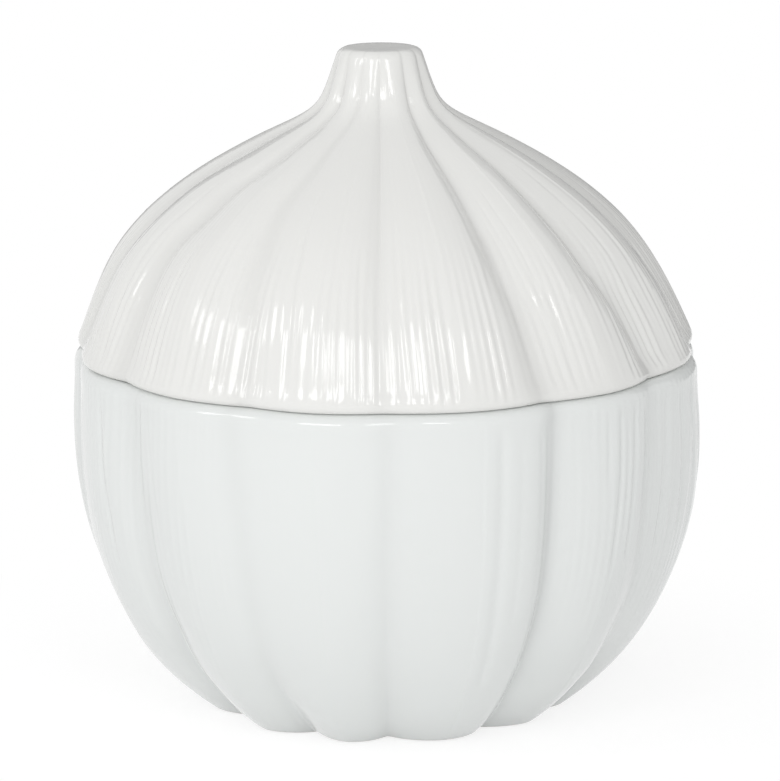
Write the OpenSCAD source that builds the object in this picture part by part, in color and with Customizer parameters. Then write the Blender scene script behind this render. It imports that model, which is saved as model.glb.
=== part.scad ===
// Garlic keeper: a glazed ceramic jar with a lid that lifts off, together shaped like a head of garlic.
// The outside is gathered into lobes that run from the foot of the jar to the tip of the stem.
// The axis is +Z, the origin is the centre of the foot, and the groove at angle 0 faces -Y.

/* [Jar] */
// Greatest diameter of the jar, measured over the lobes
jar_d = 135; // [110:1:180]
// Height of the jar, from the table to its rim
jar_h = 76.2; // [64:0.2:110]
// How far below the rim the jar is widest
belly_drop = 17; // [14:0.5:28]
// How far the jar draws in again between its widest place and its rim, on each side
rim_draw_in = 0.5; // [0:0.1:4]
// Diameter of the foot, measured over the lobes
foot_d = 82; // [60:1:94]
// How far the curve of the side keeps the direction in which it leaves the foot
foot_pull = 20.5; // [8:0.5:28]
// Angle of the side where it leaves the foot, above level
foot_slope = 37; // [25:1:55]
// How far the curve of the side keeps upright below the belly
belly_pull = 28.5; // [10:0.5:32]
// Thickness of the jar's wall where a groove is deepest
jar_wall = 4.6; // [3:0.1:6.5]
// Height of the inside floor above the table
floor_t = 6; // [4:0.1:9]
// Height of the rounded corner between the inside floor and the wall
bowl_corner_h = 5; // [3:0.5:9]
// Radius of the rounded shoulder round the rim
shoulder_r = 3; // [1:0.1:3.5]
// Radius of the rounded edge of the mouth
lip_r = 0.5; // [0.2:0.1:0.8]
// Radius of the rounded edge at the foot
foot_r = 3; // [1:0.1:4]

/* [Lid] */
// How far the lid's edge stands in from the jar's rim, on each side
lid_set_in = 0.8; // [0:0.1:1.5]
// Height of the dome, from the rim to where it turns over into the stem
dome_h = 47.2; // [38:0.2:60]
// Height of the stem, from the dome to its top
stem_h = 17; // [14:0.2:26]
// Angle of the dome from the upright at its edge
dome_slope = 22; // [12:1:30]
// How far the dome's curve keeps that direction above its edge
edge_pull = 18.5; // [8:0.5:24]
// Diameter over the lobes where the dome turns over into the stem
neck_d = 44.5; // [36:0.5:56]
// Angle of the dome above level where it turns over into the stem
neck_slope = 26; // [18:1:34]
// How far the dome's curve keeps that direction below the neck
dome_pull = 36.5; // [24:0.5:42]
// How far the stem's curve keeps that direction above the neck
neck_pull = 11; // [6:0.5:13]
// Diameter of the stem at its top, measured over the lobes
stem_d = 18.5; // [13:0.5:22]
// Angle of the stem from the upright at its top
stem_slope = 19; // [4:1:24]
// How far the stem's curve keeps that direction below its top
stem_pull = 11.5; // [4:0.5:12]
// Radius of the rounded edge round the stem's top
stem_r = 2.2; // [0.5:0.1:3.5]
// Radius of the rounded edge round the lid's rim
lid_edge_r = 1.6; // [0.6:0.1:2.4]
// Thickness of the lid's wall where a groove is deepest
lid_wall = 4.2; // [3:0.1:6]
// Height of solid ceramic at the tip of the stem
stem_solid = 12; // [8:0.5:15]

/* [Locating ring] */
// How far the ring under the lid reaches down into the jar's mouth
ring_drop = 7; // [4:0.5:12]
// Thickness of the ring
ring_t = 3.6; // [3:0.1:5]
// Clearance between the ring and the mouth, on each side
ring_gap = 1.3; // [0.5:0.1:2.5]
// Radius of the ring's rounded lower edges
ring_r = 1.2; // [0.5:0.1:1.4]

/* [Lobes] */
// Number of lobes
lobes = 13; // [9:1:16]
// Depth of the grooves at the foot
foot_groove = 4.5; // [1:0.1:6]
// Depth of the grooves at the belly
belly_groove = 2.2; // [0.5:0.1:4]
// Depth of the grooves at both rims
rim_groove = 1.8; // [0.5:0.1:3]
// Depth of the grooves where they are deepest, on the upper half of the dome
dome_groove = 3.2; // [0.5:0.1:4.2]
// Depth of the grooves round the neck
neck_groove = 1.3; // [0.3:0.1:2.5]
// Depth of the grooves at the top of the stem
stem_groove = 0.2; // [0.1:0.1:1]
// How narrow the grooves are beside the lobes: 1 is a plain zigzag
groove_sharpness = 2.2; // [1.4:0.1:4]

/* [Foot] */
// Width of the ring that the jar stands on, where a groove is deepest
foot_ring_w = 5; // [3:0.5:9]
// Depth of the shallow hollow inside that ring
foot_hollow = 1.6; // [0.8:0.1:2.4]

/* [Hidden] */

// Faces round each lobe.
steps_per_lobe = 8;
around = lobes * steps_per_lobe;

// Steps along each curve of the profiles.
side_steps = 14;
dome_steps = 12;
stem_steps = 6;
inner_steps = 6;
rim_steps = 4;
corner_steps = 3;

// Shares of the jar's height at which the foot's grooves start to fade and the belly's are reached.
foot_fade_at = 0.15;
belly_groove_at = 0.5;
// Share of its depth that a foot groove still has where it starts to fade.
foot_fade = 0.9;
// Share of the dome's height at which its grooves are deepest, and of the stem's for those round the neck.
dome_groove_at = 0.65;
neck_groove_at = 0.3;

// Shares of the way from the belly to the shoulder at which the two handles of that curve stand.
belly_handle = 0.5;
shoulder_handle = 0.6;

// The inside of the jar follows its side up to this far below the belly, with a row for every so many.
bowl_stop = 1;
bowl_stride = 2;
// Shares of the radius at the foot of that wall where the flat floor ends and where its first handle stands.
floor_share = 0.6;
floor_handle = 0.8;
// Share of the way from the end of the flat floor to the wall where the corner's second handle stands.
corner_handle = 0.75;

// The hollow of the lid follows the dome from this far above the rim to this far below the neck.
hollow_start = 10;
hollow_stop = 8;
// Shares of the radius there where the two handles of its round tip stand.
tip_start_handle = 0.6;
tip_end_handle = 0.3;
// Share of the tip's rise at which the first of them stands.
tip_handle_rise = 0.5;

// ---- Curves ----

// A unit step at angle a, from +X towards +Y.
function heading(a) = [cos(a), sin(a)];

// The point at share t of the way from a to b.
function between(a, b, t) = a + (b - a) * t;

// A point on the cubic Bezier curve from p[0] to p[3], with handles p[1] and p[2].
function bezier(p, t) =
    pow(1 - t, 3) * p[0] + 3 * pow(1 - t, 2) * t * p[1] + 3 * (1 - t) * t * t * p[2] + pow(t, 3) * p[3];

// Points on that curve. The first one is left out, because the stretch before it ends there.
function bezier_rest(p, steps) = [for (i = [1 : steps]) bezier(p, i / steps)];

// Points on an arc about c, from angle a0 to angle a1.
function arc(c, r, a0, a1, steps) = [for (i = [0 : steps]) c + r * heading(between(a0, a1, i / steps))];

// The same arc without its first point.
function arc_rest(c, r, a0, a1, steps) = [for (i = [1 : steps]) c + r * heading(between(a0, a1, i / steps))];

// A profile moved to the left of its own direction by d.
function inset(p, d) = [for (i = [0 : len(p) - 1])
    let (chord = p[min(i + 1, len(p) - 1)] - p[max(i - 1, 0)], way = chord / norm(chord))
    p[i] + d * [-way[1], way[0]]];

// The same list from its end to its start.
function reversed(list) = [for (i = [len(list) - 1 : -1 : 0]) list[i]];

// ---- Lobes ----
// A row of a lobed profile is [radius over the lobes, height, depth of the grooves].

// How deep a groove is at angle a: 1 along its floor, falling to 0 along the crest of a lobe.
function groove_share(a) = pow(abs((a * lobes / 360) % 1 * 2 - 1), groove_sharpness);

// Rows that run along the floors of the grooves, as plain points.
function groove_floor(rows) = [for (row = rows) [row[0] - row[2], row[1]]];

// Points as rows without grooves, for the round inside.
function round_rows(points) = [for (p = points) [p[0], p[1], 0]];

// A closed skin. Its profile runs from one middle to the other, with the ceramic on its left.
module lobed_skin(profile) {
    rows = len(profile);
    last = (rows - 1) * around;
    first_middle = rows * around;
    last_middle = first_middle + 1;
    ring_points = [for (row = profile, j = [0 : around - 1])
        let (a = j * 360 / around, r = row[0] - row[2] * groove_share(a))
        [r * sin(a), -r * cos(a), row[1]]];
    side_faces = [for (i = [0 : rows - 2], j = [0 : around - 1])
        let (a = i * around + j, b = i * around + (j + 1) % around)
        each [[a, a + around, b + around], [a, b + around, b]]];
    first_faces = [for (j = [0 : around - 1]) [first_middle, j, (j + 1) % around]];
    last_faces = [for (j = [0 : around - 1]) [last_middle, last + (j + 1) % around, last + j]];
    polyhedron(
        points = concat(ring_points, [[0, 0, profile[0][1]], [0, 0, profile[rows - 1][1]]]),
        faces = concat(side_faces, first_faces, last_faces));
}

// ---- Jar ----

rim_r = jar_d / 2 - rim_draw_in;
shoulder_z = jar_h - shoulder_r;
belly = [jar_d / 2, jar_h - belly_drop];
rim_edge = [rim_r, shoulder_z];

// The rounded edge at the foot ends where the side leaves it.
foot_centre = [foot_d / 2 - foot_r, foot_r];
foot_end = foot_centre + foot_r * heading(foot_slope - 90);

// Side of the jar over the lobes: up from the foot to the belly, then in to the shoulder.
jar_side = concat(
    arc(foot_centre, foot_r, -90, foot_slope - 90, corner_steps),
    bezier_rest([foot_end, foot_end + foot_pull * heading(foot_slope),
        belly - [0, belly_pull], belly], side_steps),
    bezier_rest([belly, [belly[0], between(belly[1], shoulder_z, belly_handle)],
        [rim_r, between(belly[1], shoulder_z, shoulder_handle)], rim_edge], rim_steps),
    arc_rest(rim_edge - [shoulder_r, 0], shoulder_r, 0, 90, rim_steps));

function jar_groove(z) = lookup(z, [
    [0, foot_groove],
    [foot_fade_at * jar_h, foot_fade * foot_groove],
    [belly_groove_at * jar_h, belly_groove],
    [jar_h, rim_groove]]);

jar_outside = [for (p = jar_side) [p[0], p[1], jar_groove(p[1])]];

mouth_r = rim_r - rim_groove - jar_wall;
foot_hollow_r = foot_centre[0] - foot_groove - foot_ring_w;

// Inside of the jar, from its floor up: one wall in from the grooves' floors, and straight above the belly.
bowl_side = [for (p = inset(groove_floor(jar_outside), jar_wall))
    if (p[1] > floor_t + bowl_corner_h && p[1] < belly[1] - bowl_stop && p[0] < mouth_r) p];
bowl_foot = bowl_side[0];
bowl_floor = [floor_share * bowl_foot[0], floor_t];
bowl = concat(
    [bowl_floor],
    bezier_rest([bowl_floor, [floor_handle * bowl_foot[0], floor_t],
        between(bowl_floor, bowl_foot, corner_handle), bowl_foot], inner_steps),
    [for (i = [bowl_stride : bowl_stride : len(bowl_side) - 1]) bowl_side[i]],
    [[mouth_r, belly[1]]],
    reversed(arc([mouth_r + lip_r, jar_h - lip_r], lip_r, 90, 180, corner_steps)));

// From the middle of the underside, over the foot and the rim, to the middle of the inside floor.
module jar() {
    color("#e9ecea")
        lobed_skin(concat(
            [[foot_hollow_r, foot_hollow, 0], [foot_hollow_r + foot_hollow, 0, 0]],
            jar_outside,
            round_rows(reversed(bowl))));
}

// ---- Lid ----
// Heights on the lid are measured from the rim that it sits on.

lid_r = rim_r - lid_set_in;
lid_h = dome_h + stem_h;

edge_centre = [lid_r - lid_edge_r, lid_edge_r];
edge_end = edge_centre + lid_edge_r * heading(dome_slope);
neck = [neck_d / 2, dome_h];
neck_way = heading(180 - neck_slope);
tip_centre = [stem_d / 2 - stem_r, lid_h - stem_r];
tip_start = tip_centre + stem_r * heading(stem_slope);

// Side of the lid over the lobes: round its edge, up the dome, up the stem and over to the flat top.
lid_side = concat(
    arc(edge_centre, lid_edge_r, -90, dome_slope, rim_steps),
    bezier_rest([edge_end, edge_end + edge_pull * heading(90 + dome_slope),
        neck - dome_pull * neck_way, neck], dome_steps),
    bezier_rest([neck, neck + neck_pull * neck_way,
        tip_start + stem_pull * heading(stem_slope - 90), tip_start], stem_steps),
    arc_rest(tip_centre, stem_r, stem_slope, 90, corner_steps));

function lid_groove(h) = lookup(h, [
    [0, rim_groove],
    [dome_groove_at * dome_h, dome_groove],
    [dome_h + neck_groove_at * stem_h, neck_groove],
    [lid_h, stem_groove]]);

lid_outside = [for (p = lid_side) [p[0], p[1], lid_groove(p[1])]];

ring_out_r = mouth_r - ring_gap;
ring_in_r = ring_out_r - ring_t;
ring_low = ring_r - ring_drop;

// Inside of the lid, from its edge up: one wall in from the floors of the grooves, closed by a round tip.
dome_in = [for (p = inset(groove_floor(lid_outside), lid_wall))
    if (p[1] > hollow_start && p[1] < dome_h - hollow_stop) p];
dome_top = dome_in[len(dome_in) - 1];
hollow_h = lid_h - stem_solid;
tip_start_way = [tip_start_handle * dome_top[0], between(dome_top[1], hollow_h, tip_handle_rise)];
tip_end_way = [tip_end_handle * dome_top[0], hollow_h];
hollow_tip = bezier_rest([dome_top, tip_start_way, tip_end_way, [0, hollow_h]], inner_steps);
hollow = concat(dome_in, [for (i = [0 : inner_steps - 2]) hollow_tip[i]]);

// The ring that hangs in the mouth, from its inside, round its two lower edges, to the seat.
ring = concat(
    [[ring_in_r, 0]],
    arc([ring_in_r + ring_r, ring_low], ring_r, 180, 270, corner_steps),
    arc([ring_out_r - ring_r, ring_low], ring_r, -90, 0, corner_steps),
    [[ring_out_r, 0]]);

// From the top of the hollow, down round the ring and over the edge, to the middle of the stem's flat top.
module lid() {
    color("#ebebe8")
        translate([0, 0, jar_h])
            lobed_skin(concat(round_rows(reversed(hollow)), round_rows(ring), lid_outside));
}

jar();
lid();
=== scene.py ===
"""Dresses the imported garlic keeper: a lobed ceramic jar and its lid, in white glaze, on a pale floor."""
from math import cos, pi, radians, sin

import bpy
import numpy as np
from mathutils import Matrix, Vector


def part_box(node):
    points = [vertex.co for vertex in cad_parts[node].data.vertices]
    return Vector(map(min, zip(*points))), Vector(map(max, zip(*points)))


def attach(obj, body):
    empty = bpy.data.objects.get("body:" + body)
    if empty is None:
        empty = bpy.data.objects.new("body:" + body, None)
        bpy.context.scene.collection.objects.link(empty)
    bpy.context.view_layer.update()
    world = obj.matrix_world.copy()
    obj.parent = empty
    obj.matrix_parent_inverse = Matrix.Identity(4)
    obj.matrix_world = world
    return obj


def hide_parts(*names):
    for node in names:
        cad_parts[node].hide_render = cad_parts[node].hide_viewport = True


bl_info = {
    "name": "Garlic Keeper",
    "version": (1, 0, 0),
    "blender": (4, 5, 0),
    "location": "3D View > Sidebar > Keeper",
    "description": "Builds a lobed ceramic garlic keeper, its glaze and a plain studio round a packed frame",
    "category": "Object",
}

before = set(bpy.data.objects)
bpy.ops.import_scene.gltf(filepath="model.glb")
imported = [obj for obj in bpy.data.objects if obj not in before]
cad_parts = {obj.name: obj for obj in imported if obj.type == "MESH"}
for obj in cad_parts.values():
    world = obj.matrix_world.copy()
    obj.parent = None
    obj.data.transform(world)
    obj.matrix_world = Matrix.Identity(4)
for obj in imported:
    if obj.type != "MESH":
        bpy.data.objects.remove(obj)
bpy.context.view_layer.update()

MM = 0.001
RIM_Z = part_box("jar")[1].z
TOP_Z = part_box("lid")[1].z

# ---- Sizes, colours and lights that a user would change ----


def length(name, description, default):
    """A size in metres, shown in the sidebar as a distance."""
    return bpy.props.FloatProperty(
        name=name, description=description, default=default, min=0.0, precision=5,
        unit="LENGTH", subtype="DISTANCE")


def slope(name, description, degrees):
    """An angle, given here in degrees and kept in radians."""
    return bpy.props.FloatProperty(
        name=name, description=description, default=radians(degrees), precision=2,
        unit="ROTATION", subtype="ANGLE")


def share(name, description, default):
    """A plain number from 0 upwards."""
    return bpy.props.FloatProperty(
        name=name, description=description, default=default, min=0.0, precision=3)


def colour(name, description, default):
    """A linear colour."""
    return bpy.props.FloatVectorProperty(
        name=name, description=description, default=default, size=3, min=0.0, max=1.0, subtype="COLOR")


class KeeperJarSizes(bpy.types.PropertyGroup):
    """Sizes of the jar, measured over its lobes."""

    jar_d: length("Jar diameter", "Greatest diameter of the jar", 135.0 * MM)
    belly_drop: length("Belly drop", "How far below the rim the jar is widest", 17.0 * MM)
    rim_draw_in: length("Rim draw-in", "How far the jar draws in from its belly to its rim", 0.5 * MM)
    foot_d: length("Foot diameter", "Diameter of the foot", 82.0 * MM)
    foot_pull: length("Foot pull", "How far the side keeps its direction at the foot", 20.5 * MM)
    foot_slope: slope("Foot slope", "Angle above level where the side leaves the foot", 37.0)
    belly_pull: length("Belly pull", "How far the side keeps upright below the belly", 28.5 * MM)
    shoulder_r: length("Shoulder radius", "Rounding round the rim", 3.0 * MM)
    foot_r: length("Foot radius", "Rounding at the foot", 3.0 * MM)
    lip_r: length("Lip radius", "Rounding of the mouth's edge", 0.5 * MM)
    wall: length("Wall", "Thickness of the wall where a groove is deepest", 4.6 * MM)
    floor_t: length("Floor", "Height of the inside floor above the table", 6.0 * MM)
    foot_ring_w: length("Foot ring", "Least width of the ring that the jar stands on", 5.0 * MM)
    foot_hollow: length("Foot hollow", "Depth of the hollow inside that ring", 1.6 * MM)


class KeeperLidSizes(bpy.types.PropertyGroup):
    """Sizes of the lid, measured over its lobes and up from the rim."""

    set_in: length("Set-in", "How far the lid's edge stands in from the jar's rim", 0.8 * MM)
    stem_h: length("Stem height", "Height of the stem above the dome", 17.0 * MM)
    dome_slope: slope("Dome slope", "Angle of the dome from the upright at its edge", 22.0)
    edge_pull: length("Edge pull", "How far the dome keeps that direction", 18.5 * MM)
    neck_d: length("Neck diameter", "Diameter where the dome turns over into the stem", 44.5 * MM)
    neck_slope: slope("Neck slope", "Angle of the dome above level at the neck", 26.0)
    dome_pull: length("Dome pull", "How far the dome keeps that direction below the neck", 36.5 * MM)
    neck_pull: length("Neck pull", "How far the stem keeps that direction above the neck", 11.0 * MM)
    stem_d: length("Stem diameter", "Diameter of the stem at its top", 18.5 * MM)
    stem_slope: slope("Stem slope", "Angle of the stem from the upright at its top", 19.0)
    stem_pull: length("Stem pull", "How far the stem keeps that direction below its top", 11.5 * MM)
    stem_r: length("Stem rounding", "Rounding round the top of the stem", 2.2 * MM)
    edge_r: length("Edge rounding", "Rounding round the lid's edge", 1.6 * MM)
    wall: length("Wall", "Thickness of the wall where a groove is deepest", 4.2 * MM)
    stem_solid: length("Solid tip", "Height of solid ceramic under the top of the stem", 12.0 * MM)
    ring_drop: length("Ring drop", "How far the locating ring reaches below the rim", 7.0 * MM)
    ring_t: length("Ring thickness", "Thickness of the locating ring", 3.6 * MM)
    ring_gap: length("Ring gap", "Clearance between that ring and the mouth", 1.3 * MM)
    ring_r: length("Ring rounding", "Rounding of the ring's lower edges", 1.2 * MM)
    lean: length("Lean", "How far the upper dome and the stem stand to the left of the axis", 0.9 * MM)


class KeeperLobes(bpy.types.PropertyGroup):
    """The lobes, and the fine lines in the clay."""

    count: bpy.props.IntProperty(
        name="Lobes", description="Number of lobes round the keeper", default=13, min=3)
    foot_groove: length("Foot groove", "Depth of the grooves at the foot", 4.5 * MM)
    belly_groove: length("Belly groove", "Depth of the grooves at the belly", 2.2 * MM)
    rim_groove: length("Rim groove", "Depth of the grooves at both rims", 1.8 * MM)
    dome_groove: length("Dome groove", "Depth of the grooves on the upper dome", 3.2 * MM)
    neck_groove: length("Neck groove", "Depth of the grooves round the neck", 1.3 * MM)
    stem_groove: length("Stem groove", "Depth of the grooves at the top of the stem", 0.1 * MM)
    sharpness: share("Groove sharpness", "How narrow the grooves are beside the lobes", 2.2)
    lid_ripple: length("Lid ripple", "Height of the upright ripples on the lower half of the lid", 0.115 * MM)
    jar_ripple: length("Jar ripple", "Height of the upright ripples on the flanks of the jar", 0.035 * MM)
    crease: length("Crease", "Depth of the deepest creases beside the grooves", 0.24 * MM)
    flank: length("Flank", "Depth by which a lobe dips under the next one", 1.4 * MM)


class KeeperGlaze(bpy.types.PropertyGroup):
    """Colours and gloss of the ceramic."""

    jar_white: colour("Jar glaze", "Colour of the jar's glaze", (0.80, 0.82, 0.81))
    lid_white: colour("Lid glaze", "Colour of the lid's glaze", (0.82, 0.82, 0.80))
    # Painted shade: how much darker the glaze colour is painted in the grooves.
    groove_shade: share("Pooling", "How much the glaze darkens where it pools in the grooves", 0.22)
    gloss: share("Glaze roughness", "Roughness of the glaze", 0.09)
    clay: colour("Bare clay", "Colour of the unglazed foot ring", (0.72, 0.69, 0.64))


class KeeperStudio(bpy.types.PropertyGroup):
    """Light and camera."""

    ambient: share("Ambient", "Strength of the even light from all round", 0.675)
    key: share("Key", "Radiance of the three softboxes in front", 5.0)
    fill: share("Fill", "Radiance of the low broad light in front", 3.6)
    elevation: slope("Camera elevation", "Angle of the camera above level", 12.81)
    roll: slope("Camera roll", "How far the picture leans to the left", 0.3)
    distance: length("Camera distance", "From the camera to the point it looks at", 0.8)
    focal_px: share("Focal length", "Focal length in pixels of the photograph", 3740.0)


# ---- Curves ----


def heading(angle):
    """A unit step at an angle from the radius towards the height."""
    return np.array([cos(angle), sin(angle)])


def bezier(start, start_handle, end_handle, end, steps):
    """Points on a cubic Bezier curve, without its first point: each is the sum of the four control points,
    weighted by (1 - t)^3, 3(1 - t)^2 t, 3(1 - t) t^2 and t^3."""
    t = np.linspace(0, 1, steps + 1)[1:, None]
    return ((1 - t) ** 3 * start + 3 * (1 - t) ** 2 * t * start_handle
            + 3 * (1 - t) * t ** 2 * end_handle + t ** 3 * end)


def arc(centre, radius, first, last, steps):
    """Points on an arc between two angles: the centre plus the radius along each angle."""
    angle = np.linspace(first, last, steps + 1)
    return centre + radius * np.stack([np.cos(angle), np.sin(angle)], axis=1)


def inset(path, distance):
    """A path moved to its left: each point goes along the normal of the chord between its neighbours."""
    chord = np.gradient(path, axis=0)
    chord /= np.linalg.norm(chord, axis=1)[:, None]
    return path + distance * np.stack([-chord[:, 1], chord[:, 0]], axis=1)


def smooth(low, high, value):
    """0 up to low, 1 from high on, and 3t^2 - 2t^3 between. High may be the lower of the two."""
    t = np.clip((value - low) / (high - low), 0, 1)
    return t * t * (3 - 2 * t)


# ---- Lobes ----

PER_LOBE = 80


def angles(count):
    """Angles of the columns of a grid, PER_LOBE to a lobe, counted from the front groove towards +X."""
    columns = count * PER_LOBE
    return np.arange(columns) * (2 * pi / columns)


def round_value(values, phase):
    """A value known at each groove, read at a phase counted in lobes, and linear between neighbours."""
    count = len(values)
    below = np.floor(phase)
    part = phase - below
    first = below.astype(int) % count
    return values[first] * (1 - part) + values[(first + 1) % count] * part


def drifted(angle, height, drift, knots, count):
    """The phase in lobes once the grooves have wandered. Each row of drift holds how far they
    wander, in degrees, at the height of its knot. The wander is linear between neighbouring grooves, and goes
    smoothly from one knot to the next."""
    phase = angle / (2 * pi) * count
    rows = [round_value(row, phase) for row in drift]
    moved = rows[0]
    for below, above, low, high in zip(rows, rows[1:], knots, knots[1:]):
        moved = moved + (above - below) * smooth(low, high, height)
    return phase - moved * count / 360


def groove_share(phase, sharpness, flank, lean=0.32, tip=0.06):
    """1 along a groove and 0 along a crest: one less twice the distance to the nearest groove, to a power.
    The distance is rounded off close to the groove, within the tip. The power is higher before a groove and
    lower after it, by the lean times the strength of the groove's flank."""
    away = phase - np.round(phase)
    power = sharpness * (1 - lean * np.sign(away) * round_value(flank, phase))
    return np.clip(1 - (np.sqrt(4 * away ** 2 + tip ** 2) - tip), 0, 1) ** power


def flank_share(phase, before=0.14, after=0.36):
    """1 along a groove, falling off quickly towards the lobe before it and slowly towards the lobe after it,
    by bell curves of two widths. It makes one lobe dip under the next."""
    away = phase - np.round(phase)
    return np.exp(-(away / np.where(away < 0, before, after)) ** 2)


def groove_shade_share(phase, strength, width=0.085, middle=-0.04):
    """How much shade is painted into a groove: a bell curve of the distance to a line just before it, by the
    strength given for each groove."""
    away = phase - np.round(phase) - middle
    return round_value(strength, phase) * np.exp(-(away / width) ** 2)


def ripples(angle, height, seed):
    """Fine upright ripples of a height of about 1: a sum of cosines round the axis, with seeded counts of
    turns, phases and slow leans, over the root of half their number."""
    rng = np.random.default_rng(seed)
    total = np.zeros(np.broadcast(angle, height).shape)
    waves = 10
    for _ in range(waves):
        turns = rng.integers(130, 235)
        lean = rng.normal(0, 4.0)
        total += np.cos(turns * angle + rng.uniform(0, 2 * pi) + lean * height * 10)
    return total / np.sqrt(waves / 2)


def crease_rows(seed, count, each, deepest, low, high):
    """Seeded creases beside each groove. A row is [place in lobes, depth, half width in lobes, lowest height,
    highest height]; low and high each give the range that those heights are drawn from."""
    rng = np.random.default_rng(seed)
    many = count * each
    beside = rng.choice([-1, 1], many) * rng.uniform(0.08, 0.36, many)
    place = np.repeat(np.arange(count), each) + beside
    depth = deepest * rng.uniform(0.4, 1.0, many)
    half_width = rng.uniform(0.012, 0.024, many)
    return np.column_stack([place, depth, half_width, rng.uniform(*low, many), rng.uniform(*high, many)])


def creases(phase, height, rows, count, fade=6 * MM):
    """Narrow furrows: for each row, a bell curve of the distance round the axis, faded out at both ends."""
    total = np.zeros(np.broadcast(phase, height).shape)
    for place, depth, width, low, high in rows:
        away = (phase - place + count / 2) % count - count / 2
        ends = smooth(low, low + fade, height) * smooth(high, high - fade, height)
        total += depth * np.exp(-(away / width) ** 2) * ends
    return total


# ---- Meshes ----


def lathe_mesh(name, points, groove_shade, bare):
    """A closed skin from a grid of points (rows, columns, 3). Columns wrap round the axis, and the first and
    last rows close on a pole each, in their middle. Two values per point are kept as attributes: painted
    shade in the grooves and bare clay."""
    rows, columns = points.shape[:2]
    poles = points[[0, -1]].mean(axis=1)
    vertices = np.concatenate([points.reshape(-1, 3), poles])
    here = np.arange(columns)
    after = (here + 1) % columns
    row = np.arange(rows - 1)[:, None] * columns
    above = row + columns
    quads = np.stack([row + here, row + after, above + after, above + here], axis=2).reshape(-1, 4)
    last = (rows - 1) * columns
    low_fan = np.stack([after, here, np.full(columns, rows * columns)], axis=1)
    high_fan = np.stack([last + here, last + after, np.full(columns, rows * columns + 1)], axis=1)
    mesh = bpy.data.meshes.new(name)
    mesh.from_pydata(vertices.tolist(), [], quads.tolist() + low_fan.tolist() + high_fan.tolist())
    for title, values in (("groove_shade", groove_shade), ("bare", bare)):
        layer = mesh.attributes.new(title, "FLOAT", "POINT")
        layer.data.foreach_set("value", np.concatenate([values.ravel(), values[0, :1], values[-1, :1]]))
    mesh.polygons.foreach_set("use_smooth", np.ones(len(mesh.polygons), bool))
    mesh.update()
    piece = bpy.data.objects.new(name, mesh)
    bpy.context.scene.collection.objects.link(piece)
    return piece


def spin(radius, angle, height, node, soft=0.08 * MM):
    """Points round the axis: radius along the angle, which starts at the front, -Y, and grows towards +X.
    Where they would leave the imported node's box sideways they are pressed in softly, by the logarithm of a
    sum of powers."""
    low, high = (np.array(corner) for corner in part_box(node))
    upright = np.broadcast_to(height, radius.shape)
    points = np.stack([radius * np.sin(angle), -radius * np.cos(angle), upright], axis=2)
    for axis in (0, 1):
        inside = high[axis] - soft * np.logaddexp(0, (high[axis] - points[:, :, axis]) / soft)
        points[:, :, axis] = low[axis] + soft * np.logaddexp(0, (inside - low[axis]) / soft)
    return points


# ---- Materials ----


class Wire:
    """A shader socket whose arithmetic adds Math nodes."""

    def __init__(self, graph, socket):
        self.graph = graph
        self.socket = socket

    def _math(self, operation, first, second):
        return self.graph.node("ShaderNodeMath", {"operation": operation}, {0: first, 1: second})

    def __add__(self, other):
        return self._math("ADD", self, other)

    def __radd__(self, other):
        return self._math("ADD", other, self)

    def __sub__(self, other):
        return self._math("SUBTRACT", self, other)

    def __rsub__(self, other):
        return self._math("SUBTRACT", other, self)

    def __mul__(self, other):
        return self._math("MULTIPLY", self, other)

    def __rmul__(self, other):
        return self._math("MULTIPLY", other, self)


class Graph:
    """The node tree of a material or the world."""

    def __init__(self, owner):
        owner.use_nodes = True
        self.tree = owner.node_tree
        self.tree.nodes.clear()

    def node(self, kind, settings=None, inputs=None, output=0):
        """Adds a node of any kind: its settings, then values or links for its sockets. Returns a Wire."""
        made = self.tree.nodes.new(kind)
        for key, value in (settings or {}).items():
            setattr(made, key, value)
        for key, value in (inputs or {}).items():
            if isinstance(value, Wire):
                self.tree.links.new(value.socket, made.inputs[key])
            else:
                made.inputs[key].default_value = value
        return Wire(self, made.outputs[output]) if made.outputs else None

    def mix(self, factor, first, second):
        """A colour between two others. Its sockets share their names with others, so they go by number."""
        return self.node("ShaderNodeMix", {"data_type": "RGBA"}, {0: factor, 6: first, 7: second}, output=2)

    def place(self):
        """The object's own coordinates."""
        return self.node("ShaderNodeTexCoord", output="Object")

    def noise(self, scale, detail):
        """Noise of about 0.5, on the object's own coordinates."""
        return self.node("ShaderNodeTexNoise", {}, {"Vector": self.place(), "Scale": scale, "Detail": detail})

    def attribute(self, title):
        """A value that is stored on the mesh."""
        return self.node("ShaderNodeAttribute", {"attribute_name": title}, output="Fac")

    def seen(self):
        """1 for what the camera sees directly, in a reflection or through glass, and 0 for other light."""
        rays = ("Is Camera Ray", "Is Glossy Ray", "Is Transmission Ray")
        camera, glossy, transmission = (self.node("ShaderNodeLightPath", output=ray) for ray in rays)
        either = camera + glossy + transmission
        return self.node("ShaderNodeMath", {"operation": "MINIMUM"}, {0: either, 1: 1.0})


WHITE = (1.0, 1.0, 1.0)


def rgba(values, shade=1.0):
    """A colour with its alpha, made lighter or darker."""
    return tuple(v * shade for v in values) + (1.0,)


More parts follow.
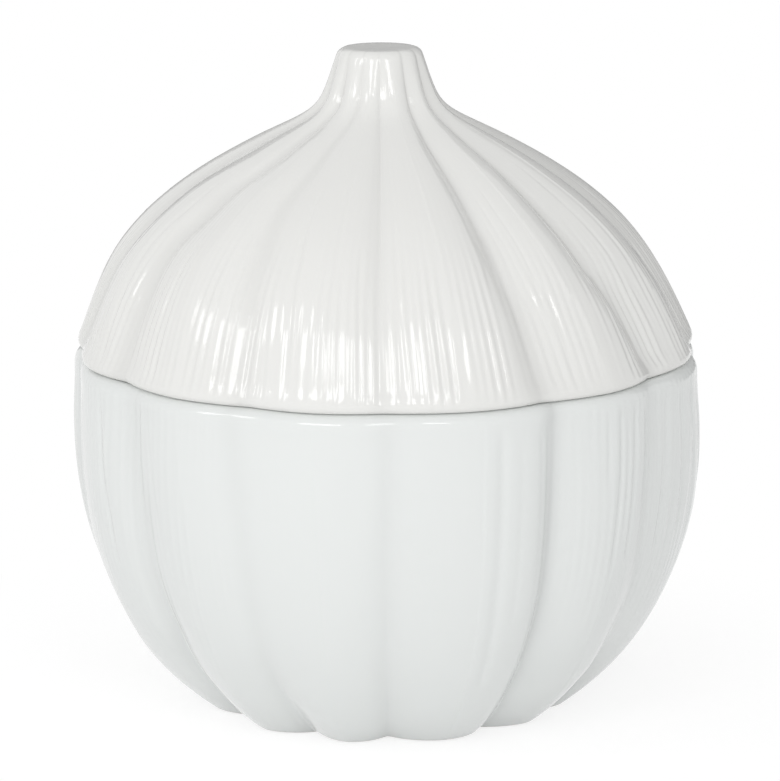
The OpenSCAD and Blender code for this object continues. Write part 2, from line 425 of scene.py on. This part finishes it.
def glaze(name, white, look):
    """White glaze over pale clay, uneven by about a hundredth and bare on the ring that the jar stands on.
    Its colour is painted darker in the grooves, as painted shade."""
    material = bpy.data.materials.new(name)
    graph = Graph(material)
    # Each noise has a scale, per metre, and a detail.
    patches = graph.noise(34.0, 3.0)
    swell = graph.noise(160.0, 1.5)
    specks = graph.noise(900.0, 1.0)
    even = graph.mix(patches, rgba(white, 1.012), rgba(white, 0.988))
    # Painted shade: the grooves are painted darker, towards 0.55 of the white.
    body = graph.mix(graph.attribute("groove_shade") * look.groove_shade, even, rgba(white, 0.55))
    skin = graph.node("ShaderNodeBump", {}, {"Strength": 0.12, "Distance": 0.4 * MM, "Height": swell})
    glass = graph.node("ShaderNodeBsdfPrincipled", {}, {
        "Base Color": body,
        "Roughness": patches * 0.06 + (look.gloss - 0.03),
        "IOR": 1.5,
        "Normal": skin,
    })
    grain = graph.node("ShaderNodeBump", {}, {"Strength": 0.5, "Distance": 0.3 * MM, "Height": specks})
    clay = graph.node("ShaderNodeBsdfPrincipled", {}, {
        "Base Color": graph.mix(specks, rgba(look.clay, 0.9), rgba(look.clay, 1.08)),
        "Roughness": 0.85,
        "Normal": grain,
    })
    surface = graph.node("ShaderNodeMixShader", {}, {0: graph.attribute("bare"), 1: glass, 2: clay})
    graph.node("ShaderNodeOutputMaterial", {}, {"Surface": surface})
    return material


# ---- Profiles ----
# A row of a profile is [radius, height, groove depth, strength of the fine lines, bare clay].


def rows_of(path, grooves=0.0, lines=0.0, bare=0.0):
    """Profile rows from a path and what goes with it."""
    extra = [np.broadcast_to(v, len(path)) for v in (grooves, lines, bare)]
    return np.column_stack([path] + extra)


def mouth_radius(jar, lobes):
    """Radius of the jar's round mouth."""
    return jar.jar_d / 2 - jar.rim_draw_in - lobes.rim_groove - jar.wall


def jar_profile(jar, lobes):
    """From the middle of the underside, over the foot, up the side, over the rim and down to the middle of
    the inside floor. The side is two Bezier curves that meet upright at the belly."""
    rim_r = jar.jar_d / 2 - jar.rim_draw_in
    mouth_r = mouth_radius(jar, lobes)
    shoulder_z = RIM_Z - jar.shoulder_r
    belly = np.array([jar.jar_d / 2, RIM_Z - jar.belly_drop])
    shoulder_rise = shoulder_z - belly[1]
    foot_centre = np.array([jar.foot_d / 2 - jar.foot_r, jar.foot_r])
    foot_end = foot_centre + jar.foot_r * heading(jar.foot_slope - pi / 2)
    side = np.concatenate([
        arc(foot_centre, jar.foot_r, -pi / 2, jar.foot_slope - pi / 2, 5),
        bezier(foot_end, foot_end + jar.foot_pull * heading(jar.foot_slope),
               belly - (0, jar.belly_pull), belly, 34),
        bezier(belly, belly + (0, 0.5 * shoulder_rise),
               np.array([rim_r, belly[1] + 0.6 * shoulder_rise]), np.array([rim_r, shoulder_z]), 8),
        arc((rim_r - jar.shoulder_r, shoulder_z), jar.shoulder_r, 0, pi / 2, 8)[1:],
    ])
    depth = np.interp(side[:, 1], [0, 0.15 * RIM_Z, 0.5 * RIM_Z, RIM_Z],
                      [lobes.foot_groove, 0.9 * lobes.foot_groove, lobes.belly_groove, lobes.rim_groove])
    hollow_r = foot_centre[0] - lobes.foot_groove - jar.foot_ring_w
    hollow_z = jar.foot_hollow
    # The hollow under the foot, rounded into the ring that the jar stands on.
    under = np.array([
        [0.3 * hollow_r, hollow_z],
        [hollow_r - MM, hollow_z],
        [hollow_r - 0.3 * MM, hollow_z * 0.8],
        [hollow_r + 0.4 * MM, 0.2 * MM],
        [hollow_r + 0.8 * MM, 0.0],
    ])
    bowl = inset(side - np.column_stack([depth, np.zeros(len(depth))]), jar.wall)
    above_floor = bowl[:, 1] > jar.floor_t + 5 * MM
    below_belly = bowl[:, 1] < belly[1] - MM
    bowl = bowl[above_floor & below_belly & (bowl[:, 0] < mouth_r)]
    # The wall curves into the flat middle of the floor.
    corner = bowl[0]
    flat = np.array([corner[0] * 0.6, jar.floor_t])
    curve = bezier(flat, np.array([corner[0] * 0.8, jar.floor_t]), (flat + 3 * corner) / 4, corner, 8)
    mouth = arc((mouth_r + jar.lip_r, RIM_Z - jar.lip_r), jar.lip_r, pi / 2, pi, 4)
    # Nothing is carved inside, so every third row is enough there.
    inside = np.concatenate([
        mouth, [[mouth_r, belly[1]]], bowl[::-3], curve[::-1][1:], [flat, flat * (0.4, 1)],
    ])
    on_side = smooth(0.5 * MM, 4 * MM, side[:, 1]) * smooth(RIM_Z, RIM_Z - 4 * MM, side[:, 1])
    return np.concatenate([
        rows_of(under, bare=[0, 0, 0.5, 1, 1]),
        rows_of(side, depth, on_side, 1 - smooth(0.05 * MM, 0.5 * MM, side[:, 1])),
        rows_of(inside),
    ])


def lid_profile(jar, lid, lobes):
    """From the top of the hollow, down inside, round the locating ring and its seat, over the edge, up the
    dome and the stem, and over to the middle of the flat top."""
    ring_out = mouth_radius(jar, lobes) - lid.ring_gap
    ring_in = ring_out - lid.ring_t
    lid_r = jar.jar_d / 2 - jar.rim_draw_in - lid.set_in
    lid_h = TOP_Z - RIM_Z
    edge_centre = np.array([lid_r - lid.edge_r, lid.edge_r])
    edge_end = edge_centre + lid.edge_r * heading(lid.dome_slope)
    neck = np.array([lid.neck_d / 2, lid_h - lid.stem_h])
    neck_way = heading(pi - lid.neck_slope)
    tip_centre = np.array([lid.stem_d / 2 - lid.stem_r, lid_h - lid.stem_r])
    tip_start = tip_centre + lid.stem_r * heading(lid.stem_slope)
    side = np.concatenate([
        arc(edge_centre, lid.edge_r, -pi / 2, lid.dome_slope, 6),
        bezier(edge_end, edge_end + lid.edge_pull * heading(pi / 2 + lid.dome_slope),
               neck - lid.dome_pull * neck_way, neck, 38),
        bezier(neck, neck + lid.neck_pull * neck_way,
               tip_start + lid.stem_pull * heading(lid.stem_slope - pi / 2), tip_start, 15),
        arc(tip_centre, lid.stem_r, lid.stem_slope, pi / 2, 5)[1:],
    ])
    depth = np.interp(side[:, 1], [0, 0.65 * neck[1], neck[1] + 0.3 * lid.stem_h, lid_h],
                      [lobes.rim_groove, lobes.dome_groove, lobes.neck_groove, lobes.stem_groove])
    inner = inset(side - np.column_stack([depth, np.zeros(len(depth))]), lid.wall)
    inner = inner[(inner[:, 1] > 10 * MM) & (inner[:, 1] < neck[1] - 8 * MM)][::3]
    top = inner[-1]
    tip = np.array([0.0, lid_h - lid.stem_solid])
    cap_start = np.array([top[0] * 0.6, (top[1] + tip[1]) / 2])
    cap_end = np.array([top[0] * 0.3, tip[1]])
    cap = bezier(top, cap_start, cap_end, tip, 6)[:-1]
    inside = np.concatenate([
        cap[::-1], inner[::-1],
        arc((ring_in + lid.ring_r, lid.ring_r - lid.ring_drop), lid.ring_r, pi, 1.5 * pi, 4),
        arc((ring_out - lid.ring_r, lid.ring_r - lid.ring_drop), lid.ring_r, -pi / 2, 0, 4),
        arc((ring_out + 0.6 * MM, -0.6 * MM), 0.6 * MM, pi, pi / 2, 3),
    ])
    on_dome = smooth(0.5 * MM, 5 * MM, side[:, 1]) * smooth(lid_h - 2 * MM, lid_h - 20 * MM, side[:, 1])
    # The top of the stem sinks a little towards its middle.
    crown = np.array([[0.8, 0.0], [0.4, -0.06 * MM]]) * (tip_centre[0], 1) + (0, lid_h)
    rows = np.concatenate([rows_of(inside), rows_of(side, depth, on_dome), rows_of(crown)])
    rows[:, 1] += RIM_Z
    return rows


# ---- What is uneven round the keeper ----

# How far each groove wanders from its even place, in degrees. There is a row for each height in the knots.
# The groove at the front comes first, here and in the lists below, and the others follow towards +X.
JAR_KNOTS = (0.0, 12 * MM, 26 * MM, 44 * MM, 74 * MM)
JAR_DRIFT = np.array([
    [0, 5.5, 7, -3, -1, 2, 0, -2, 1, 0, -1, 0, 2.5],
    [0.3, 4.6, 4.5, -1, 0, 1, 1, -1, 0, 1, -1, 2.5, 2.5],
    [0.5, 4.4, 0, 3, 1, -1, 2, 0, -2, 1, 0, 6.2, 3.6],
    [0.8, 4.2, -1.5, 9, 3, 0, 1, -1, 0, 2, -1, 6.6, 3.5],
    [1.2, 4.4, 0.2, 5, 2, 2, -1, 0, 1, -1, 0, 3.8, 1],
], float)
LID_KNOTS = (RIM_Z, RIM_Z + 14 * MM, RIM_Z + 26 * MM, RIM_Z + 36 * MM, RIM_Z + 45 * MM, RIM_Z + 53 * MM)
LID_DRIFT = np.array([
    [-0.2, 1.6, 2, 1, -1, 1, 0, -1, 2, 0, -1, -1.1, 2.6],
    [-0.1, 1.4, 0.8, 1, -1, 0, 1, -1, 1, 0, -1, -2.4, 2],
    [-0.1, 0.1, -3.2, 0, 2, -1, 1, 0, -1, 1, -2, -3, 0.6],
    [-0.1, -0.8, -4.3, 1, 5, 0, -1, 1, -1, -4, -3, 1.5, -0.8],
    [0, -1, -3.3, 2, 7, 1, 0, 2, 1, -4, 2, 8.5, 3],
    [0, 3.4, 3, 3, 6, 3, 3, 4, 4, 5, 8, 10, 7.5],
], float)
# What each groove's depth is multiplied by.
JAR_DEPTH = np.array([0.6, 1, 0.55, 1.0, 1, 0.9, 1.1, 1, 0.9, 1.1, 1, 1.1, 0.35])
LID_DEPTH = np.array([0.6, 1, 1, 1, 0.9, 1.1, 1, 0.9, 1, 1.1, 1, 1.05, 0.75])
# What each groove's sharpness is multiplied by: less than 1 makes it broader.
JAR_SPREAD = np.array([1, 0.9, 0.9, 0.9, 1, 0.9, 1, 0.8, 1, 0.9, 1, 0.8, 0.8])
LID_SPREAD = np.array([1, 0.8, 0.8, 0.9, 1, 0.9, 1, 0.8, 1, 0.9, 0.9, 0.8, 0.7])
# How far a lobe dips under the next one at each groove, where 1 is the full depth.
JAR_FLANK = np.array([0.2, 1, 0.3, 0.3, 0.5, 0.8, 0.5, 0.7, 0.8, 0.5, 0.6, 0.3, 0.2])
LID_FLANK = np.array([0.2, 1, 1, 0.7, 0.5, 0.8, 0.5, 0.7, 0.8, 0.5, 0.6, 0.3, 0.2])
# How much shade is painted in each groove, as a share of the painted groove shade in the settings.
JAR_GROOVE_SHADE = np.array([0.25, 1, 0.5, 0.6, 0.5, 0.7, 0.5, 0.6, 0.7, 0.5, 0.6, 0.5, 0.3])
LID_GROOVE_SHADE = np.array([0.35, 1, 1.15, 0.7, 0.6, 0.7, 0.6, 0.7, 0.7, 0.6, 0.7, 0.7, 0.5])
# The creases at the front, in rows like those that crease_rows makes.
FRONT_CREASES = np.array([
    [0.60, 0.34 * MM, 0.032, 14 * MM, 74 * MM],
    [0.72, 0.10 * MM, 0.020, 30 * MM, 72 * MM],
    [0.86, 0.20 * MM, 0.022, 32 * MM, 74 * MM],
    [0.93, 0.16 * MM, 0.018, 24 * MM, 74 * MM],
    [1.45, 0.20 * MM, 0.018, 56 * MM, 75 * MM],
    [1.58, 0.45 * MM, 0.022, 36 * MM, 75 * MM],
    [1.66, 0.24 * MM, 0.016, 44 * MM, 75 * MM],
    [1.75, 0.45 * MM, 0.022, 38 * MM, 75 * MM],
    [1.92, 0.30 * MM, 0.018, 50 * MM, 75 * MM],
    [2.15, 0.36 * MM, 0.020, 36 * MM, 75 * MM],
    [2.33, 0.36 * MM, 0.020, 40 * MM, 75 * MM],
    [2.48, 0.30 * MM, 0.018, 38 * MM, 75 * MM],
    [2.62, 0.30 * MM, 0.018, 44 * MM, 75 * MM],
])
FRONT_LID_CREASES = np.array([
    [-0.17, 0.26 * MM, 0.014, RIM_Z - 4 * MM, RIM_Z + 32 * MM],
    [-0.28, 0.10 * MM, 0.012, RIM_Z - 4 * MM, RIM_Z + 22 * MM],
    [0.0, 0.28 * MM, 0.013, RIM_Z - 4 * MM, RIM_Z + 52 * MM],
])
# Between these phases the jar has only the creases that are listed above.
BY_HAND_FROM, BY_HAND_TO = -1.6, 2.8
# How many creases are drawn beside each groove.
JAR_CREASES = 3
LID_CREASES = 5
# The seeds of the ripples and of the creases.
JAR_SEEDS = (3, 5)
LID_SEEDS = (7, 9)
# How far the ripples lie below the skin, in heights of a ripple, so that they cut in and don't stand out.
RIPPLE_SINK = 2


# ---- Operators ----


class KEEPER_OT_jar(bpy.types.Operator):
    """Make the lobed jar with its mouth, bowl and foot ring"""

    bl_idname = "keeper.jar"
    bl_label = "Make Jar"

    def execute(self, context):
        jar, lobes, look = context.scene.keeper_jar, context.scene.keeper_lobes, context.scene.keeper_glaze
        rows = jar_profile(jar, lobes)
        angle = angles(lobes.count)[None, :]
        height = rows[:, 1:2]
        phase = drifted(angle, height, JAR_DRIFT, JAR_KNOTS, lobes.count)
        # The grooves are alike at the foot, and each has its own depth further up.
        uneven = 1 + (round_value(JAR_DEPTH, phase) - 1) * smooth(4 * MM, 28 * MM, height)
        groove = groove_share(phase, lobes.sharpness * round_value(JAR_SPREAD, phase), JAR_FLANK) * uneven
        # The ripples are full at the sides, a tenth of that at the front and back, and none near the foot.
        at_sides = 0.1 + 0.9 * smooth(0.35, 0.85, np.abs(np.sin(angle)))
        upper = smooth(15 * MM, 45 * MM, height)
        ripple_seed, crease_seed = JAR_SEEDS
        behind = crease_rows(crease_seed, lobes.count, JAR_CREASES, lobes.crease,
                             (30 * MM, 50 * MM), (RIM_Z - 4 * MM, RIM_Z))
        behind = behind[(behind[:, 0] > BY_HAND_TO) & (behind[:, 0] < lobes.count + BY_HAND_FROM)]
        lines = creases(phase, height, np.concatenate([FRONT_CREASES, behind]), lobes.count)
        # A lobe dips under the next one from a little above the foot, and half as far at the rim.
        dip = smooth(3 * MM, 16 * MM, height) * (1 - 0.5 * smooth(RIM_Z - 20 * MM, RIM_Z - 4 * MM, height))
        under = flank_share(phase) * round_value(JAR_FLANK, phase) * lobes.flank * dip
        waves = (ripples(angle, height, ripple_seed) - RIPPLE_SINK) * lobes.jar_ripple * at_sides * upper
        fine = waves - lines - under
        radius = rows[:, :1] - rows[:, 2:3] * groove + rows[:, 3:4] * fine
        bare = np.broadcast_to(rows[:, 4:5], radius.shape)
        # Shade painted into the grooves, on the outer skin only.
        painted_groove_shade = np.where(rows[:, 2:3] > 0, groove_shade_share(phase, JAR_GROOVE_SHADE), 0)
        piece = lathe_mesh("lobed_jar", spin(radius, angle, height, "jar"), painted_groove_shade, bare)
        piece.data.materials.append(glaze("jar_glaze", look.jar_white, look))
        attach(piece, "jar")
        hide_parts("jar")
        return {"FINISHED"}


class KEEPER_OT_lid(bpy.types.Operator):
    """Make the domed lid with its stem, seat and locating ring"""

    bl_idname = "keeper.lid"
    bl_label = "Make Lid"

    def execute(self, context):
        scene = context.scene
        lobes, look = scene.keeper_lobes, scene.keeper_glaze
        rows = lid_profile(scene.keeper_jar, scene.keeper_lid, lobes)
        angle = angles(lobes.count)[None, :]
        height = rows[:, 1:2]
        phase = drifted(angle, height, LID_DRIFT, LID_KNOTS, lobes.count)
        groove = groove_share(phase, lobes.sharpness * round_value(LID_SPREAD, phase), LID_FLANK)
        groove = groove * round_value(LID_DEPTH, phase)
        # The ripples are a little lower along the crests, and nearly gone on the upper dome.
        beside = 0.7 + 0.3 * smooth(0.4, 0.15, np.abs(phase - np.round(phase)))
        lower = 1 - 0.92 * smooth(14 * MM, 34 * MM, height - RIM_Z)
        ripple_seed, crease_seed = LID_SEEDS
        rising = crease_rows(crease_seed, lobes.count, LID_CREASES, lobes.crease,
                             (RIM_Z - 4 * MM, RIM_Z), (RIM_Z + 24 * MM, RIM_Z + 44 * MM))
        lines = creases(phase, height, np.concatenate([FRONT_LID_CREASES, rising]), lobes.count)
        # A lobe dips under the next one in full on the dome, less at its edge, and not at the stem's top.
        rise = smooth(RIM_Z - 10 * MM, RIM_Z + 16 * MM, height)
        fall = smooth(TOP_Z - 6 * MM, TOP_Z - 24 * MM, height)
        under = flank_share(phase) * round_value(LID_FLANK, phase) * lobes.flank * rise * fall
        waves = (ripples(angle, height, ripple_seed) - RIPPLE_SINK) * lobes.lid_ripple * beside * lower
        fine = waves - lines - under
        radius = rows[:, :1] - rows[:, 2:3] * groove + rows[:, 3:4] * fine
        # Shade painted into the grooves, on the outer skin only.
        painted_groove_shade = np.where(rows[:, 2:3] > 0, groove_shade_share(phase, LID_GROOVE_SHADE), 0)
        points = spin(radius, angle, height, "lid")
        points[:, :, 0] -= scene.keeper_lid.lean * smooth(RIM_Z, RIM_Z + 24 * MM, height)
        piece = lathe_mesh("domed_lid", points, painted_groove_shade, np.zeros(radius.shape))
        piece.data.materials.append(glaze("lid_glaze", look.lid_white, look))
        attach(piece, "lid")
        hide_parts("lid")
        return {"FINISHED"}


def aim(place, target, roll=0.0):
    """A matrix at a place whose -Z points at the target, rolled about that line."""
    way = (Vector(target) - Vector(place)).to_track_quat("-Z", "Y")
    return Matrix.Translation(place) @ way.to_matrix().to_4x4() @ Matrix.Rotation(roll, 4, "Z")


def softbox(name, place, target, size, radiance):
    """A rectangular light at a place, faced to a target. Its power is its radiance by its area by pi."""
    lamp = bpy.data.lights.new(name, "AREA")
    lamp.shape = "RECTANGLE"
    lamp.size, lamp.size_y = size
    lamp.energy = radiance * size[0] * size[1] * pi
    light = bpy.data.objects.new(name, lamp)
    light.matrix_world = aim(place, target)
    bpy.context.scene.collection.objects.link(light)
    return light


def polar(azimuth, elevation, distance):
    """A place round the middle of the keeper: azimuth from the front towards +X and elevation, in degrees."""
    turn, rise = radians(azimuth), radians(elevation)
    way = Vector((sin(turn) * cos(rise), -cos(turn) * cos(rise), sin(rise)))
    return Vector((0, 0, TOP_Z / 2)) + distance * way


# The three softboxes: the azimuth of each, in degrees, and its width. They share the values that follow.
SOFTBOXES = ((-65, 0.16), (-24, 0.36), (10.5, 0.17))
SOFTBOX_ELEVATION = 34.8
SOFTBOX_DISTANCE = 1.0
SOFTBOX_HEIGHT = 0.17
# The low broad light: its azimuth and elevation in degrees, its distance, and its width and height.
LOW_FILL = (-8, 2, 1.4)
LOW_FILL_SIZE = (1.3, 0.22)
FLOOR_RADIUS = 6.0
# The floor shows shadow up to the first of these distances from the middle, and none beyond the second.
FLOOR_SHADOW = (0.05, 0.13)
# The picture's height and middle in pixels, and where a point on the keeper's axis, 70 mm up, is in it.
PICTURE_PX = 781
SENSOR_MM = 36.0
MIDDLE_PX = Vector((390.0, 390.5))
AXIS_PX = Vector((386.0, 374.3))
AXIS_POINT = Vector((0, 0, 70 * MM))


class KEEPER_OT_studio(bpy.types.Operator):
    """Make the floor, the lights and the camera"""

    bl_idname = "keeper.studio"
    bl_label = "Make Studio"

    def execute(self, context):
        studio = context.scene.keeper_studio
        self.floor()
        self.world(context.scene, studio)
        self.card()
        middle = Vector((0, 0, TOP_Z / 2))
        for azimuth, width in SOFTBOXES:
            place = polar(azimuth, SOFTBOX_ELEVATION, SOFTBOX_DISTANCE)
            softbox("key", place, middle, (width, SOFTBOX_HEIGHT), studio.key)
        fill = softbox("low_fill", polar(*LOW_FILL), middle, LOW_FILL_SIZE, studio.fill)
        fill.visible_glossy = False
        self.camera(context.scene, studio)
        return {"FINISHED"}

    @staticmethod
    def floor():
        """A wide pale disc. Where it is seen it is white, apart from the shadow in its middle."""
        columns = 96
        turn = np.arange(columns) * 2 * pi / columns
        ring = np.stack([np.cos(turn), np.sin(turn), np.zeros(columns)], axis=1) * FLOOR_RADIUS
        mesh = bpy.data.meshes.new("floor")
        mesh.from_pydata(ring.tolist(), [], [list(range(columns))])
        floor = bpy.data.objects.new("floor", mesh)
        bpy.context.scene.collection.objects.link(floor)
        material = bpy.data.materials.new("pale_floor")
        graph = Graph(material)
        far = graph.node("ShaderNodeVectorMath", {"operation": "LENGTH"}, {0: graph.place()}, output="Value")
        dark, clear = FLOOR_SHADOW
        near = graph.node("ShaderNodeMapRange", {"interpolation_type": "SMOOTHSTEP"},
                          {"Value": far, "From Min": dark, "From Max": clear, "To Min": 1.0, "To Max": 0.0})
        plain = graph.node("ShaderNodeBsdfDiffuse", {}, {"Color": rgba(WHITE, 0.97)})
        # In its middle a weak surface and a glow add up to white in full light, and to less in the shadow.
        dim = graph.node("ShaderNodeBsdfDiffuse", {}, {"Color": rgba(WHITE, 0.3)})
        lift = graph.node("ShaderNodeEmission", {}, {"Color": rgba(WHITE), "Strength": 0.78})
        shadowed = graph.node("ShaderNodeAddShader", {}, {0: dim, 1: lift})
        white = graph.node("ShaderNodeEmission", {}, {"Color": rgba(WHITE), "Strength": 1.0})
        shown = graph.node("ShaderNodeMixShader", {}, {0: near, 1: white, 2: shadowed})
        surface = graph.node("ShaderNodeMixShader", {}, {0: graph.seen(), 1: plain, 2: shown})
        graph.node("ShaderNodeOutputMaterial", {}, {"Surface": surface})
        mesh.materials.append(material)

    @staticmethod
    def card():
        """A grey card behind the keeper. The camera doesn't see it, but the keeper reflects it in the top of
        its stem and along its outline."""
        left, right, low, high, back = -0.22, 0.85, 0.02, 0.65, 0.55
        mesh = bpy.data.meshes.new("grey_card")
        corners = [(left, back, low), (right, back, low), (right, back, high), (left, back, high)]
        mesh.from_pydata(corners, [], [(0, 1, 2, 3)])
        card = bpy.data.objects.new("grey_card", mesh)
        card.visible_camera = False
        bpy.context.scene.collection.objects.link(card)
        material = bpy.data.materials.new("grey_card")
        graph = Graph(material)
        grey = graph.node("ShaderNodeBsdfDiffuse", {}, {"Color": rgba(WHITE, 0.45)})
        graph.node("ShaderNodeOutputMaterial", {}, {"Surface": grey})
        mesh.materials.append(material)

    @staticmethod
    def world(scene, studio):
        """White where it is seen, and an even ambient light otherwise."""
        world = bpy.data.worlds.new("studio")
        scene.world = world
        graph = Graph(world)
        strength = graph.seen() * (1.0 - studio.ambient) + studio.ambient
        glow = graph.node("ShaderNodeBackground", {}, {"Color": rgba(WHITE), "Strength": strength})
        graph.node("ShaderNodeOutputWorld", {}, {"Surface": glow})

    @staticmethod
    def camera(scene, studio):
        """A long lens a little above level. The height of the picture is the width of the sensor."""
        data = bpy.data.cameras.new("camera")
        data.sensor_width = SENSOR_MM
        data.lens = studio.focal_px / PICTURE_PX * SENSOR_MM
        camera = bpy.data.objects.new("camera", data)
        back = Vector((0, -cos(studio.elevation), sin(studio.elevation)))
        up = Vector((0, sin(studio.elevation), cos(studio.elevation)))
        off = (AXIS_PX - MIDDLE_PX) * (studio.distance / studio.focal_px)
        target = AXIS_POINT - Vector((1, 0, 0)) * off.x + up * off.y
        camera.matrix_world = aim(target + back * studio.distance, target, -studio.roll)
        scene.collection.objects.link(camera)
        scene.camera = camera


class KEEPER_PT_panel(bpy.types.Panel):
    """Lists the keeper's parts and its sizes"""

    bl_idname = "KEEPER_PT_panel"
    bl_label = "Garlic Keeper"
    bl_space_type = "VIEW_3D"
    bl_region_type = "UI"
    bl_category = "Keeper"

    def draw(self, context):
        for operator in (KEEPER_OT_studio, KEEPER_OT_jar, KEEPER_OT_lid):
            self.layout.operator(operator.bl_idname)
        for name in GROUPS:
            box = self.layout.box()
            box.label(text=name.replace("_", " ").title())
            group = getattr(context.scene, name)
            for key in group.__annotations__:
                box.prop(group, key)


GROUPS = {
    "keeper_jar": KeeperJarSizes,
    "keeper_lid": KeeperLidSizes,
    "keeper_lobes": KeeperLobes,
    "keeper_glaze": KeeperGlaze,
    "keeper_studio": KeeperStudio,
}
CLASSES = (*GROUPS.values(), KEEPER_OT_studio, KEEPER_OT_jar, KEEPER_OT_lid, KEEPER_PT_panel)


def register():
    """Registers the classes and gives the scene its groups of settings."""
    for cls in CLASSES:
        bpy.utils.register_class(cls)
    for name, group in GROUPS.items():
        setattr(bpy.types.Scene, name, bpy.props.PointerProperty(type=group))


def unregister():
    """Takes the settings and the classes away again."""
    for name in GROUPS:
        delattr(bpy.types.Scene, name)
    for cls in reversed(CLASSES):
        bpy.utils.unregister_class(cls)


def main():
    """Builds the whole scene."""
    register()
    bpy.context.scene.view_settings.view_transform = "Standard"
    bpy.ops.keeper.studio()
    bpy.ops.keeper.jar()
    bpy.ops.keeper.lid()


if __name__ == "__main__":
    main()
